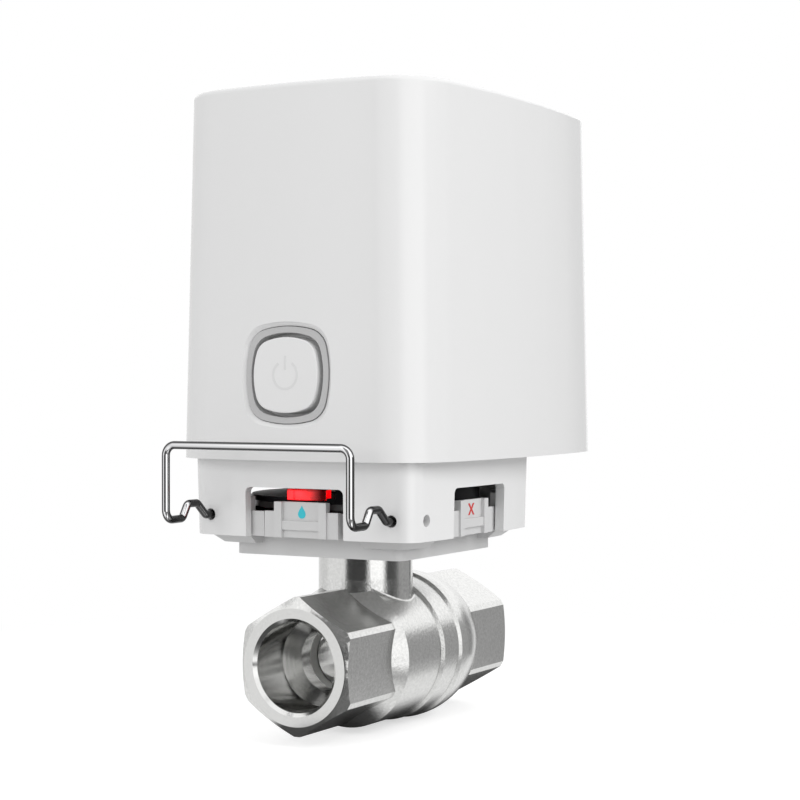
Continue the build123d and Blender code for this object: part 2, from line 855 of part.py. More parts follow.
def light_guides():
    """Four clear posts that carry the board's light to the ring."""
    width, front, rear = case_limits(button_z)
    reach = (ring_width + ring_inner) / 4
    guides = []
    for k in range(4):
        x, z = polar(reach, 45 + 90 * k)
        length = board_y - (front + pad_depth + ring_flange + layer_gap)
        guide = Box(guide_size, length, guide_size)
        guides.append(Pos(x * sqrt(2), board_y - length / 2, button_z + z * sqrt(2)) * guide)
    return guides


def involute_angle(radius, base):
    """The angle that an involute has turned through when it reaches a radius."""
    if radius <= base:
        return 0.0
    turn = acos(base / radius)
    return tan(turn) - turn


def gear_face(module, teeth, phase):
    """The outline of a spur gear with involute flanks, one tooth at the phase angle in degrees."""
    pitch = module * teeth / 2
    base = pitch * cos(radians(pressure_angle))
    root = pitch - module * 1.25
    tip = pitch + module
    half_pitch = pi / teeth / 2 - tooth_play * module / pitch
    start = half_pitch + involute_angle(pitch, base)
    first = max(root, base)
    flank = [first, (first + tip) / 2, tip]
    points = []
    for k in range(teeth):
        middle = radians(phase) + 2 * pi * k / teeth
        side = [(radius, start - involute_angle(radius, base)) for radius in flank]
        if root < base:
            side.insert(0, (root, start))
        for radius, angle in side:
            points.append((radius * cos(middle - angle), radius * sin(middle - angle)))
        for radius, angle in reversed(side):
            points.append((radius * cos(middle + angle), radius * sin(middle + angle)))
    return make_face(Polyline(*points, close=True))


def spur_gear(module, teeth, bottom, top, phase):
    """A spur gear about the Z axis between two heights."""
    return Pos(0, 0, bottom) * extrude(gear_face(module, teeth, phase), amount=top - bottom)


def mesh_phase(angle, driver_phase, driver_teeth, teeth):
    """The phase that puts a gap of the mating gear opposite a tooth of the driver."""
    driver_turn = (angle - driver_phase) * driver_teeth / teeth
    return angle + 180 + driver_turn + 180 / teeth


output_phase = 0.0
second_pinion_phase = mesh_phase(second_gear_angle, output_phase, output_teeth, second_pinion_teeth)
second_wheel_phase = 0.0
first_pinion_phase = mesh_phase(first_gear_angle, second_wheel_phase, second_wheel_teeth,
                                first_pinion_teeth)
first_wheel_phase = 0.0
motor_pinion_phase = mesh_phase(motor_angle, first_wheel_phase, first_wheel_teeth, motor_pinion_teeth)


def output_gear():
    """The output gear: toothed wheel, hollow drive hub below and journal above."""
    wheel = spur_gear(output_module, output_teeth, output_bottom, output_top, output_phase)
    hub = disc(output_hub_radius, output_hub_bottom, output_bottom)
    journal = disc(output_journal_radius, output_top, frame_top)
    shoulder = disc(output_hub_radius, output_top, output_top + layer_gap / 2)
    shape = wheel + hub + journal + shoulder
    socket = stem_square + 2 * slip_gap
    depth = stem_top + slip_gap
    shape = shape - block((-socket / 2, socket / 2), (-socket / 2, socket / 2), (0, depth))
    for k in range(lightening_holes):
        x, y = polar(lightening_circle, (k + 0.5) * 360 / lightening_holes)
        shape = shape - Pos(x, y) * disc(lightening_radius, output_bottom, output_top)
    x, y = polar(magnet_circle, -90)
    pocket = disc(magnet_radius + fit_gap, output_bottom - overrun, output_bottom + magnet_height)
    return stem_axis * (shape - Pos(x, y) * pocket)


def position_magnet():
    """The magnet under the output gear that tells the board which way the ball stands."""
    x, y = polar(magnet_circle, -90)
    return at_stem(x, y) * disc(magnet_radius, output_bottom, output_bottom + magnet_height)


def compound_gear(wheel, pinion, centre):
    """Two gears fused one above the other on a common bore."""
    module, teeth, bottom, top, phase = wheel
    shape = spur_gear(module, teeth, bottom, top, phase)
    module, teeth, low, high, phase = pinion
    shape = shape + spur_gear(module, teeth, low, high, phase)
    end = frame_bottom - gear_float
    shape = shape + disc(gear_hub_radius, max(top, high) - slip_gap, end)
    shape = shape + disc(gear_hub_radius, tray_top + gear_float, min(bottom, low) + slip_gap)
    bore = disc(axle_radius + fit_gap, 0, frame_top * 2)
    return at_stem(*centre) * (shape - bore)


def second_gear():
    """The second stage: its pinion drives the output gear."""
    wheel = (second_module, second_wheel_teeth, second_wheel_bottom, second_wheel_top,
             second_wheel_phase)
    pinion = (output_module, second_pinion_teeth, tray_top + gear_float, second_wheel_bottom,
              second_pinion_phase)
    return compound_gear(wheel, pinion, second_centre)


def first_gear():
    """The first stage: its wheel is driven by the motor's pinion."""
    wheel = (first_module, first_wheel_teeth, first_wheel_bottom, first_wheel_top, first_wheel_phase)
    pinion = (second_module, first_pinion_teeth, second_wheel_bottom, first_wheel_bottom,
              first_pinion_phase)
    return compound_gear(wheel, pinion, first_centre)


def gear_axles():
    """Two steel pins between the tray and the gearbox plate."""
    pin = disc(axle_radius, tray_top - axle_sink + slip_gap, frame_top)
    return [at_stem(*centre) * pin for centre in (second_centre, first_centre)]


def motor_pinion():
    """The motor's pinion."""
    middle = (first_wheel_bottom + first_wheel_top) / 2
    bottom = middle - motor_pinion_face / 2
    shape = spur_gear(first_module, motor_pinion_teeth, bottom, bottom + motor_pinion_face,
                      motor_pinion_phase)
    return at_stem(*motor_centre) * (shape - disc(motor_shaft_radius + fit_gap / 2, 0, frame_top))


def motor_shaft():
    """The motor's shaft, which carries the pinion."""
    bottom = (first_wheel_bottom + first_wheel_top - motor_pinion_face) / 2
    return at_stem(*motor_centre) * disc(motor_shaft_radius, bottom, frame_top + motor_length / 2)


def motor():
    """The motor's can with its nose and the hole for the shaft."""
    can = disc(motor_radius, frame_top, frame_top + motor_length)
    can = fillet(can.edges().group_by(Axis.Z)[-1], motor_cap_step)
    nose = disc(motor_nose_radius, frame_top - motor_nose_height, frame_top)
    hole = disc(motor_shaft_radius + fit_gap, 0, frame_top + motor_length / 2 + slip_gap)
    shape = can + nose - hole
    for k in range(2):
        x, y = polar(motor_screw_circle, 90 + 180 * k)
        shape = shape - Pos(x, y) * disc(screw_radius, frame_top, frame_top + frame_thickness)
    return at_stem(*motor_centre) * shape


def motor_cap():
    """The insulating end of the motor with its two terminals."""
    bottom = frame_top + motor_length
    cap = disc(motor_radius - motor_cap_step, bottom, bottom + motor_cap_height)
    width, thickness, height = motor_terminal
    for x in (-motor_screw_circle, motor_screw_circle):
        top = bottom + motor_cap_height
        cap = cap + Pos(x, 0, top + height / 2) * Box(width, thickness, height)
    return at_stem(*motor_centre) * cap


def leg_places():
    """The four legs of the gearbox plate."""
    x = frame_half_width - frame_leg_inset
    front = frame_front + frame_leg_inset
    rear = frame_rear - frame_leg_inset
    return [(-x, front), (x, front), (x, rear), (-x, rear)]


def gearbox_frame():
    """The gearbox plate on four legs, with holes for the journal, the axles and the motor."""
    middle = (frame_front + frame_rear) / 2
    outline = RectangleRounded(2 * frame_half_width, frame_rear - frame_front, frame_corner)
    shape = Pos(0, middle, frame_bottom) * extrude(outline, amount=frame_thickness)
    for x, y in leg_places():
        shape = shape + Pos(x, y) * disc(frame_leg_radius, tray_top, frame_bottom)
        shape = shape - Pos(x, y) * disc(screw_radius, frame_bottom - case_boss_height, frame_top + overrun)
    for x in (-board_slot_x, board_slot_x):
        half = board_slot_width / 2
        behind_board = board_y + board_thickness
        arm = block((x - half, x + half), (behind_board, frame_front + overrun), (frame_bottom, frame_top))
        lug = block((x - half, x + half), (behind_board, behind_board + frame_thickness),
                    (frame_bottom, frame_top + board_slot_width))
        shape = shape + arm + lug
        shape = shape - board_screw_cut(x)
    holes = disc(output_journal_radius + fit_gap, 0, case_top)
    shape = shape - stem_axis * holes
    for centre in (second_centre, first_centre):
        shape = shape - at_stem(*centre) * disc(axle_radius + fit_gap / 2, 0, case_top)
    shape = shape - at_stem(*motor_centre) * disc(motor_nose_radius + fit_gap, 0, case_top)
    for k in range(2):
        x, y = polar(motor_screw_circle, 90 + 180 * k)
        place = add_points(motor_centre, (x, y))
        shape = shape - at_stem(*place) * disc(screw_radius, 0, case_top)
    return shape


def board_screw_z():
    """The height of the two screws that hold the board to the frame's lugs."""
    return frame_top + board_slot_width / 2


def board_screw_cut(x, radius=screw_radius):
    """The hole for a board screw."""
    middle = board_y + board_thickness
    return Pos(x, middle, board_screw_z()) * Rot(90, 0, 0) * Cylinder(radius, 2 * board_slot_width)


def pan_screw(length):
    """A round-headed screw pointing down, with its head above the Z origin."""
    head = disc(screw_head_radius - screw_slot, 0, screw_head_depth)
    head = fillet(head.edges().group_by(Axis.Z)[-1], screw_slot)
    shank = disc(screw_radius - fit_gap, -length, 0)
    return head + shank - cross_slot(screw_head_depth, screw_slot_depth)


def frame_screws():
    """The four screws down through the gearbox plate into its legs."""
    length = case_boss_height - case_rib
    return [Pos(x, y, frame_top) * pan_screw(length) for x, y in leg_places()]


def board_screws():
    """The two screws through the circuit board."""
    screw = Rot(90, 0, 0) * pan_screw(board_thickness + frame_thickness)
    return [Pos(x, board_y, board_screw_z()) * screw for x in (-board_slot_x, board_slot_x)]


def motor_screws():
    """The two screws up through the plate into the motor's face."""
    screw = Rot(180, 0, 0) * pan_screw(2 * frame_thickness - screw_slot)
    places = [add_points(motor_centre, polar(motor_screw_circle, 90 + 180 * k)) for k in range(2)]
    return [at_stem(*place, frame_bottom) * screw for place in places]


def output_bush():
    """The plain bearing of the output hub."""
    outer = output_hub_radius + bush_wall
    return stem_axis * ring(outer, output_hub_radius + fit_gap, tray_top - bush_length, tray_top)


def output_seal():
    """The lip seal that keeps water out below the bearing."""
    outer = output_hub_radius + shaft_seal_wall
    top = hub_boss_bottom + shaft_seal_height
    shape = ring(outer, output_hub_radius + fit_gap, hub_boss_bottom, top)
    groove = ring(outer - shaft_seal_wall / 3, outer - shaft_seal_wall * 2 / 3,
                  hub_boss_bottom - overrun, hub_boss_bottom + shaft_seal_height / 2)
    return stem_axis * (shape - groove)


def position_sensors():
    """Two sensors beside the output gear, where its magnet stops at open and closed."""
    tip = output_module * (output_teeth + 2) / 2
    width, thickness, height = sensor_size
    sensors = []
    for angle in (-90, 0):
        x, y = polar(tip + sensor_gap + thickness / 2, angle)
        sensor = Rot(0, 0, angle + 90) * Box(width, thickness, height)
        sensors.append(at_stem(x, y, tray_top + height / 2) * sensor)
    return sensors


def dial_carrier():
    """The grey disc keyed on the stem's square, under the dial."""
    shape = disc(carrier_radius, carrier_bottom, dial_bottom)
    square = stem_square + 2 * slip_gap
    return stem_axis * (shape - Box(square, square, dial_top * 3))


def sector(outer, inner, bottom, top, start, end):
    """A piece of a ring between two angles in degrees."""
    reach = outer * 2
    steps = 6
    fan = [(0, 0)]
    fan += [polar(reach, start + (end - start) * k / steps) for k in range(steps + 1)]
    wedge = Pos(0, 0, bottom) * extrude(make_face(Polyline(*fan, close=True)), amount=top - bottom)
    return ring(outer, inner, bottom, top) & wedge


def indicator_dial():
    """The black dial: a disc with a raised rim beside the notch for the red mark."""
    shape = disc(dial_radius, dial_bottom, dial_top)
    shape = shape + sector(dial_radius, dial_rim_inner, dial_top, dial_rim_top,
                           dial_rim_start, dial_rim_end)
    notch = sector(dial_radius + overrun, dial_rim_inner, mark_bottom, dial_rim_top + overrun,
                   -90 - mark_half_angle, -90 + mark_half_angle)
    square = stem_square + 2 * slip_gap
    return stem_axis * (shape - notch - Box(square, square, dial_top * 3))


def indicator_mark():
    """The clear red mark on the dial's rim that shows which way the valve stands."""
    half = mark_half_angle - degrees(mark_side_gap / dial_radius)
    shape = sector(dial_radius - mark_side_gap, dial_rim_inner + mark_side_gap, mark_bottom,
                   dial_rim_top, -90 - half, -90 + half)
    return stem_axis * shape


def retaining_clip():
    """The steel wire clip: two legs through base and adapter, humps in front and a pull bar."""
    x = clip_half_span
    half = [
        (x, clip_rear_y, clip_z),
        (x, clip_exit_y, clip_z),
        (x, clip_hump_front_y, clip_hump_z),
        (x, clip_hump_back_y, clip_hump_z),
        (x, clip_foot_y, clip_foot_z),
        (x, clip_upright_y, clip_foot_z),
        (x, clip_upright_y, clip_bar_z),
    ]
    points = half + [(-px, py, pz) for px, py, pz in reversed(half)]
    turns = [clip_hump_bend] * 4 + [clip_bend] * 2
    path = FilletPolyline(*points, radius=turns + turns[::-1])
    start = Plane(origin=points[0], z_dir=(0, -1, 0))
    return sweep(start * Circle(wire_radius), path)


def main_board():
    """The circuit board that stands behind the button."""
    shape = block((-board_half_width, board_half_width), (board_y, board_y + board_thickness),
                  (board_bottom, board_top))
    for x in (-board_slot_x, board_slot_x):
        shape = shape - board_screw_cut(x)
    return shape


def radio_module():
    """The shielded radio on the back of the board."""
    width, thickness, height = radio_size
    back = board_y + board_thickness
    can = Pos(0, back + thickness / 2, radio_z) * Box(width, thickness, height)
    return fillet(can.edges().group_by(Axis.Y)[-1], thickness / 4)


def antenna():
    """The folded wire aerial on the top edge of the board."""
    runs = 5
    start = -antenna_step * runs / 2
    points = [(start, board_top)]
    for k in range(runs):
        high = board_top + antenna_height
        x = start + antenna_step * k
        level = high if k % 2 == 0 else board_top + antenna_height / 2
        points += [(x, level), (x + antenna_step, level)]
    points = points + [(start + antenna_step * runs, board_top + antenna_height)]
    middle = board_y + board_thickness / 2
    flat = []
    for x, z in points:
        if not flat or flat[-1] != (x, middle, z):
            flat.append((x, middle, z))
    path = Polyline(*flat)
    start_plane = Plane(origin=flat[0], z_dir=(0, 0, 1))
    return sweep(start_plane * Rectangle(antenna_wire * 2, antenna_wire * 2), path,
                 transition=Transition.RIGHT)


def capacitors():
    """Two round capacitors on the back of the board."""
    back = board_y + board_thickness
    x = board_half_width - capacitor_radius * 1.3
    shapes = []
    for side in (-1, 1):
        can = Rot(-90, 0, 0) * disc(capacitor_radius, 0, capacitor_length)
        can = fillet(can.edges().group_by(Axis.Y)[-1], capacitor_radius / 8)
        shapes.append(Pos(side * x, back, board_top - capacitor_radius * 2) * can)
    return shapes


def supply_terminals():
    """The screw terminals on the back of the board, for an outside supply."""
    width, depth, height = terminal_size
    back = board_y + board_thickness
    low = frame_top + board_slot_width + layer_gap
    shape = block((-width / 2, width / 2), (back, back + depth), (low, low + height))
    for side in (-1, 1):
        x = side * terminal_pitch / 2
        entry = block((x - screw_radius, x + screw_radius), (back + depth / 2, back + depth + overrun),
                      (low + layer_gap, low + height / 2))
        shape = shape - entry
        well = Pos(x, back + depth / 2) * disc(screw_radius, low + height / 2, low + height + overrun)
        shape = shape - well
    return shape


def cell_places():
    """The axes of the four cells: two columns, two high."""
    x = cell_radius + cell_gap / 2
    y = holder_front_y + holder_wall + slip_gap + cell_radius
    low = tray_top + holder_wall + contact_rise
    return [(side * x, y, low + level * (cell_length + cell_nub_height)) for side in (-1, 1)
            for level in range(2)]


def holder_top():
    """The underside of the battery holder's upper wall."""
    return tray_top + holder_height


def battery_cells():
    """Four small cylindrical cells."""
    body = fillet(disc(cell_radius, 0, cell_length).edges(), cell_gap / 3)
    nub = disc(cell_nub_radius, cell_length, cell_length + cell_nub_height - slip_gap)
    return [Pos(x, y, z) * (body + nub) for x, y, z in cell_places()]


def battery_holder():
    """The battery holder: end walls, a front wall, a divider and side lips, open at the rear."""
    half = 2 * cell_radius + cell_gap / 2 + slip_gap + holder_wall
    front = holder_front_y
    rear = front + holder_wall + slip_gap + cell_radius
    top = holder_top()
    outer = block((-half, half), (front, rear), (tray_top, top + holder_wall))
    wells = []
    for x, y, z in cell_places():
        well = Pos(x, y) * disc(cell_radius + slip_gap, tray_top + holder_wall, top)
        wells.append(well)
    shape = outer
    for well in wells[::2]:
        shape = shape - well
    return shape


def battery_contacts():
    """Sprung strips at both ends of each column of cells."""
    contacts = []
    half = contact_width / 2
    for x, y, z in cell_places()[::2]:
        for floor, side in ((tray_top + holder_wall, 1), (holder_top(), -1)):
            rise = contact_rise - slip_gap
            outline = Polyline(
                (-half, 0),
                (half, 0),
                (half, contact_thickness),
                (half - contact_thickness, contact_thickness),
                (half / 4, rise),
                (-half / 4, rise),
                (-half + contact_thickness, contact_thickness),
                (-half, contact_thickness),
                close=True,
            )
            strip = extrude(Plane.XZ * make_face(outline), amount=half / 2, both=True)
            turn = Rot(0, 0, 0) if side > 0 else Rot(180, 0, 0)
            contacts.append(Pos(x, y - half, floor) * turn * strip)
    return contacts


nodes = {
    "valve_body": valve_body,
    "end_cap": end_cap,
    "cap_seal": cap_seal,
    "seat_inlet": lambda: seat(-1),
    "seat_outlet": lambda: seat(1),
    "ball": ball,
    "stem": stem,
    "stem_seals": stem_seals,
    "stem_thrust_ring": thrust_ring,
    "gland_washer": gland_washer,
    "gland_nut": gland_nut,
    "adapter_plate": adapter_plate,
    "dial_carrier": dial_carrier,
    "indicator_dial": indicator_dial,
    "indicator_mark": indicator_mark,
    "retaining_clip": retaining_clip,
    "base_housing": base_housing,
    "output_bush": output_bush,
    "output_seal": output_seal,
    "output_gear": output_gear,
    "position_magnet": position_magnet,
    "position_sensors": position_sensors,
    "second_gear": second_gear,
    "first_gear": first_gear,
    "gear_axles": gear_axles,
    "gearbox_frame": gearbox_frame,
    "frame_screws": frame_screws,
    "motor": motor,
    "motor_cap": motor_cap,
    "motor_shaft": motor_shaft,
    "motor_pinion": motor_pinion,
    "motor_screws": motor_screws,
    "main_board": main_board,
    "board_screws": board_screws,
    "button_switch": button_switch,
    "switch_plunger": switch_plunger,
    "light_guides": light_guides,
    "radio_module": radio_module,
    "antenna": antenna,
    "capacitors": capacitors,
    "supply_terminals": supply_terminals,
    "battery_holder": battery_holder,
    "battery_contacts": battery_contacts,
    "battery_cells": battery_cells,
    "upper_case": upper_case,
    "case_seal": case_seal,
    "case_screws": case_screws,
    "light_ring": light_ring,
    "function_button": function_button,
}

for node, make in nodes.items():
    save(node, make())
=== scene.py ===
# %% [markdown]
# # A motor-driven water valve
# The object is a nickel-plated ball valve with a white actuator clipped onto it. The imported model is
# loaded first as a fixed frame: every solid keeps its place, and this script gives each one its look.

# %% Load the frame
import json
import math
import bmesh
import bpy
from mathutils import Matrix, Vector


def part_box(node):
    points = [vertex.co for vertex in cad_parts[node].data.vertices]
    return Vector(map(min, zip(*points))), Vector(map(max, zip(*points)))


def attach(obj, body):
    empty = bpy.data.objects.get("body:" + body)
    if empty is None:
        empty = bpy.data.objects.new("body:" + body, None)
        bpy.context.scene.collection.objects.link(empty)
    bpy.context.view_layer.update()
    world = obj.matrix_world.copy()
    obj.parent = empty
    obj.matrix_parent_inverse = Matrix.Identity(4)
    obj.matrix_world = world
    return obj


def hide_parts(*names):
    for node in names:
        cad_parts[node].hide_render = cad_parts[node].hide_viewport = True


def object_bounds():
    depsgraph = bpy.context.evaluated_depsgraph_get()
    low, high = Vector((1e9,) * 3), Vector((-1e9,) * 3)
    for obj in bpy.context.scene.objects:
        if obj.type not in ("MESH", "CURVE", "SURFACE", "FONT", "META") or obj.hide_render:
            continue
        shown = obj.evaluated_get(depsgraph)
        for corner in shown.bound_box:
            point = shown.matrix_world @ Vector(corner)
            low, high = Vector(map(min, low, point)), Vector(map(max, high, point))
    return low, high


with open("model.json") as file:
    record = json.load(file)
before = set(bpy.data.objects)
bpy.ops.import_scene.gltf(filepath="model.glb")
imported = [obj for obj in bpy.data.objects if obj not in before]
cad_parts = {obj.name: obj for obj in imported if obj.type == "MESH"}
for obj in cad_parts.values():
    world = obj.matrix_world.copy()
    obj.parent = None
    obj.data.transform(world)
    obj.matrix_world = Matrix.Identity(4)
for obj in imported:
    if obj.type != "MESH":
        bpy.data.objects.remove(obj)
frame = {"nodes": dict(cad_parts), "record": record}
cad_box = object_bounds()
MM = 0.001
STEM = Vector((0, 29.9, 0)) * MM
print("solids:", len(frame["nodes"]), "box:", [round(v, 4) for p in cad_box for v in p])

# %% [markdown]
# ## The camera
# The photograph is taken from the front right, almost level with the middle of the object. A camera
# is aimed with two angles here, because the picture has no roll.

# %% Camera at the photograph's place
CAMERA_PLACE = Vector((223.4, -348.35, 61.6)) * MM
CAMERA_TURN = 29.54
CAMERA_DIP = 0.525
CAMERA_LENS = 86.16

camera_data = bpy.data.cameras.new("camera")
camera_data.lens = CAMERA_LENS
camera_data.sensor_width = 36
camera_data.clip_start = 0.01
camera = bpy.data.objects.new("camera", camera_data)
camera.location = CAMERA_PLACE
camera.rotation_euler = (math.radians(90 - CAMERA_DIP), 0, math.radians(CAMERA_TURN))
bpy.context.scene.collection.objects.link(camera)
bpy.context.scene.camera = camera
bpy.context.scene.view_settings.view_transform = "Standard"

# %% [markdown]
# ## Small helpers for node trees
# A material is a tree of nodes. These helpers add a node, set its sockets by name and link them, so
# that each finish below reads as a short recipe.

# %% Helpers for nodes
def add_node(tree, kind, sockets=None, **settings):
    node = tree.nodes.new(kind)
    for name, value in settings.items():
        setattr(node, name, value)
    for name, value in (sockets or {}).items():
        if isinstance(value, bpy.types.NodeSocket):
            tree.links.new(value, node.inputs[name])
        else:
            node.inputs[name].default_value = value
    return node


def maths(tree, operation, first, second=0.0):
    return add_node(tree, "ShaderNodeMath", {0: first, 1: second}, operation=operation).outputs[0]


def smooth_step(tree, value, low, high):
    """0 below the low value, 1 above the high one, smooth between them."""
    return add_node(tree, "ShaderNodeMapRange", {"Value": value, "From Min": low, "From Max": high},
                    interpolation_type="SMOOTHSTEP").outputs["Result"]


def product(tree, first, *others):
    """All the values multiplied together."""
    for other in others:
        first = maths(tree, "MULTIPLY", first, other)
    return first


def scaled(tree, colour, factor):
    """A colour made lighter or darker by a factor."""
    return add_node(tree, "ShaderNodeVectorMath", {0: colour, "Scale": factor}, operation="SCALE").outputs[0]


def grey(level):
    return (level, level, level)


def new_group(name, inputs, outputs):
    """A shader node group with float inputs that have defaults, and named outputs."""
    group = bpy.data.node_groups.new(name, "ShaderNodeTree")
    for title, default in inputs.items():
        socket = group.interface.new_socket(title, in_out="INPUT", socket_type="NodeSocketFloat")
        socket.default_value = default
    for title, kind in outputs.items():
        group.interface.new_socket(title, in_out="OUTPUT", socket_type=kind)
    entry = group.nodes.new("NodeGroupInput")
    leave = group.nodes.new("NodeGroupOutput")
    return group, entry.outputs, leave.inputs


# %% [markdown]
# ## Effects that several finishes share
# Moulded plastic has a fine even grain from its tool. Cast and blasted metal has a coarser, rougher
# skin. Turned faces carry fine rings round the pipe's axis. Each is a node group, built once, whose
# inputs say how large and how deep the effect is on a given piece.

# %% Fine grain of a moulded or blasted skin
grain, g_in, g_out = new_group("fine_grain", {"Size mm": 0.25, "Depth mm": 0.004, "Spread": 0.04},
                               {"Height": "NodeSocketFloat", "Mottle": "NodeSocketFloat"})
place = add_node(grain, "ShaderNodeTexCoord").outputs["Object"]
cells = maths(grain, "DIVIDE", 1000.0, g_in["Size mm"])
fine = add_node(grain, "ShaderNodeTexNoise", {"Vector": place, "Scale": cells, "Detail": 2.0}).outputs["Fac"]
broad = add_node(grain, "ShaderNodeTexNoise", {"Vector": place, "Scale": 90.0, "Detail": 3.0}).outputs["Fac"]
grain.links.new(product(grain, fine, product(grain, g_in["Depth mm"], MM)), g_out["Height"])
both = maths(grain, "SUBTRACT", maths(grain, "ADD", fine, broad), 1.0)
grain.links.new(maths(grain, "MULTIPLY", both, g_in["Spread"]), g_out["Mottle"])

# %% Rings left by a lathe, round the pipe's axis
turning, t_in, t_out = new_group("turning_marks", {"Pitch mm": 0.18, "Depth mm": 0.002},
                                 {"Height": "NodeSocketFloat"})
place = add_node(turning, "ShaderNodeTexCoord").outputs["Object"]
flat = add_node(turning, "ShaderNodeSeparateXYZ", {"Vector": place}).outputs
radius = maths(turning, "SQRT", maths(turning, "ADD", maths(turning, "MULTIPLY", flat["X"], flat["X"]),
                                      maths(turning, "MULTIPLY", flat["Z"], flat["Z"])))
travel = maths(turning, "ADD", radius, flat["Y"])
turns = maths(turning, "MULTIPLY", maths(turning, "DIVIDE", travel, t_in["Pitch mm"]), 6283.2)
wave = maths(turning, "SINE", turns)
turning.links.new(maths(turning, "MULTIPLY", wave, maths(turning, "MULTIPLY", t_in["Depth mm"], 0.001)),
                  t_out["Height"])

# %% [markdown]
# ## Finishes
# A moulded plastic is one recipe with a few numbers: its colour, its gloss, and the size of its
# grain. The same recipe serves the white case, the grey ring, the black dial and the gears.

# %% Recipe for moulded plastic
def finish(name):
    made = bpy.data.materials.new(name)
    made.use_nodes = True
    tree = made.node_tree
    return made, tree, tree.nodes["Principled BSDF"].inputs


def use_group(tree, group, **values):
    return add_node(tree, "ShaderNodeGroup", {k.replace("_", " "): v for k, v in values.items()},
                    node_tree=group).outputs


def tinted(tree, colour, mottle):
    """The colour made a little lighter and darker by the mottle."""
    return scaled(tree, colour, maths(tree, "ADD", mottle, 1.0))


def plastic(name, colour, roughness=0.4, size=0.3, depth=0.004, spread=0.03, specular=0.5):
    made, tree, shader = finish(name)
    skin = use_group(tree, grain, Size_mm=size, Depth_mm=depth, Spread=spread)
    tree.links.new(tinted(tree, colour, skin["Mottle"]), shader["Base Color"])
    rough = maths(tree, "ADD", roughness, skin["Mottle"])
    tree.links.new(rough, shader["Roughness"])
    shader["Specular IOR Level"].default_value = specular
    bump = add_node(tree, "ShaderNodeBump", {"Height": skin["Height"], "Distance": 1.0})
    tree.links.new(bump.outputs[0], shader["Normal"])
    return made


case_white = plastic("case_white", grey(0.80), roughness=0.14, size=0.22, depth=0.0006, spread=0.01)
# The base is the same white plastic as the case, painted a little lighter to offset the shade it gets under
# the case.
base_white_painted_lift = plastic("base_white_painted_lift", grey(0.83), roughness=0.22, size=0.25, depth=0.0008, spread=0.015)
button_white = plastic("button_white", grey(0.81), roughness=0.28, size=0.2, depth=0.0008, spread=0.01)
ring_grey = plastic("ring_grey", grey(0.52), roughness=0.36, size=0.2, depth=0.001)
symbol_grey = plastic("symbol_grey", grey(0.74), roughness=0.4, size=0.2, depth=0.0008)
adapter_grey = plastic("adapter_grey", grey(0.66), roughness=0.42, size=0.3, depth=0.004, spread=0.04)
dial_black = plastic("dial_black", (0.006, 0.006, 0.007), roughness=0.38, size=0.2, depth=0.0004, spread=0.02,
                     specular=0.08)
seal_black = plastic("seal_black", grey(0.015), roughness=0.6, size=0.3, depth=0.006)
seat_white = plastic("seat_white", (0.80, 0.80, 0.77), roughness=0.36, size=0.5, depth=0.003)
gear_cream = plastic("gear_cream", (0.76, 0.74, 0.66), roughness=0.38, size=0.3, depth=0.003)
frame_grey = plastic("frame_grey", (0.16, 0.17, 0.18), roughness=0.45, size=0.3, depth=0.006, spread=0.08)
part_black = plastic("part_black", (0.02, 0.02, 0.022), roughness=0.42, size=0.25, depth=0.004)
cell_blue = plastic("cell_blue", (0.03, 0.10, 0.30), roughness=0.22, size=0.5, depth=0.001)
drop_cyan = plastic("drop_cyan", (0.045, 0.58, 0.68), roughness=0.45, size=0.12, depth=0.001)
cross_red = plastic("cross_red", (0.62, 0.035, 0.03), roughness=0.45, size=0.12, depth=0.001)

# %% [markdown]
# ## Metal
# The valve is brass with a satin nickel plate. Its hexagons and barrel are cast and blasted, so they
# glitter with a fine grain; the ports and end faces are turned and shine more. A mask on the distance
# from the pipe's axis tells the turned faces from the cast ones.

# %% Metals
# Painted shade: with an edge value, a metal's colour darkens where its surface turns away from the view. This
# stands in for the dark reflections along a wire's outline.
EDGE_SHADE_FACING = (0.14, 0.36)


def metal(name, colour, roughness, size=0.25, depth=0.004, spread=0.05, edge=0.0):
    """Bare or plated metal. The edge value paints shade on it where the surface turns away from the view."""
    made, tree, shader = finish(name)
    skin = use_group(tree, grain, Size_mm=size, Depth_mm=depth, Spread=spread)
    shade = tinted(tree, colour, skin["Mottle"])
    if edge:
        # Painted shade towards the outline.
        facing = add_node(tree, "ShaderNodeLayerWeight", {"Blend": 0.5}).outputs["Facing"]
        rim = smooth_step(tree, facing, *EDGE_SHADE_FACING)
        shade = scaled(tree, shade, maths(tree, "SUBTRACT", 1.0, product(tree, rim, edge)))
    tree.links.new(shade, shader["Base Color"])
    tree.links.new(maths(tree, "ADD", roughness, skin["Mottle"]), shader["Roughness"])
    shader["Metallic"].default_value = 1.0
    bump = add_node(tree, "ShaderNodeBump", {"Height": skin["Height"], "Distance": 1.0})
    tree.links.new(bump.outputs[0], shader["Normal"])
    return made


steel_turned = metal("steel_turned", grey(0.60), 0.26, size=0.2, depth=0.002)
steel_polished = metal("steel_polished", grey(0.80), 0.07, size=0.4, depth=0.0004, spread=0.02)
# The clip's wire gets painted shade along its outline.
wire_polished = metal("wire_polished", (0.84, 0.84, 0.85), 0.06, size=0.5, depth=0.0006, spread=0.02,
                      edge=0.94)
screw_zinc = metal("screw_zinc", (0.58, 0.59, 0.60), 0.30, size=0.15, depth=0.002)
carrier_alloy = metal("carrier_alloy", grey(0.34), 0.36, size=0.2, depth=0.003)
motor_can = metal("motor_can", (0.55, 0.55, 0.56), 0.24, size=0.3, depth=0.002)
contact_spring = metal("contact_spring", (0.68, 0.67, 0.62), 0.24, size=0.3, depth=0.001)


NICKEL_COLOUR = (0.66, 0.66, 0.65)
NICKEL_ROUGHNESS = 0.22
NICKEL_GRAIN = 0.028
NICKEL_SPECKLE = 0.30
TURNED_RADIUS = 12.85
NECK_START = 17.0


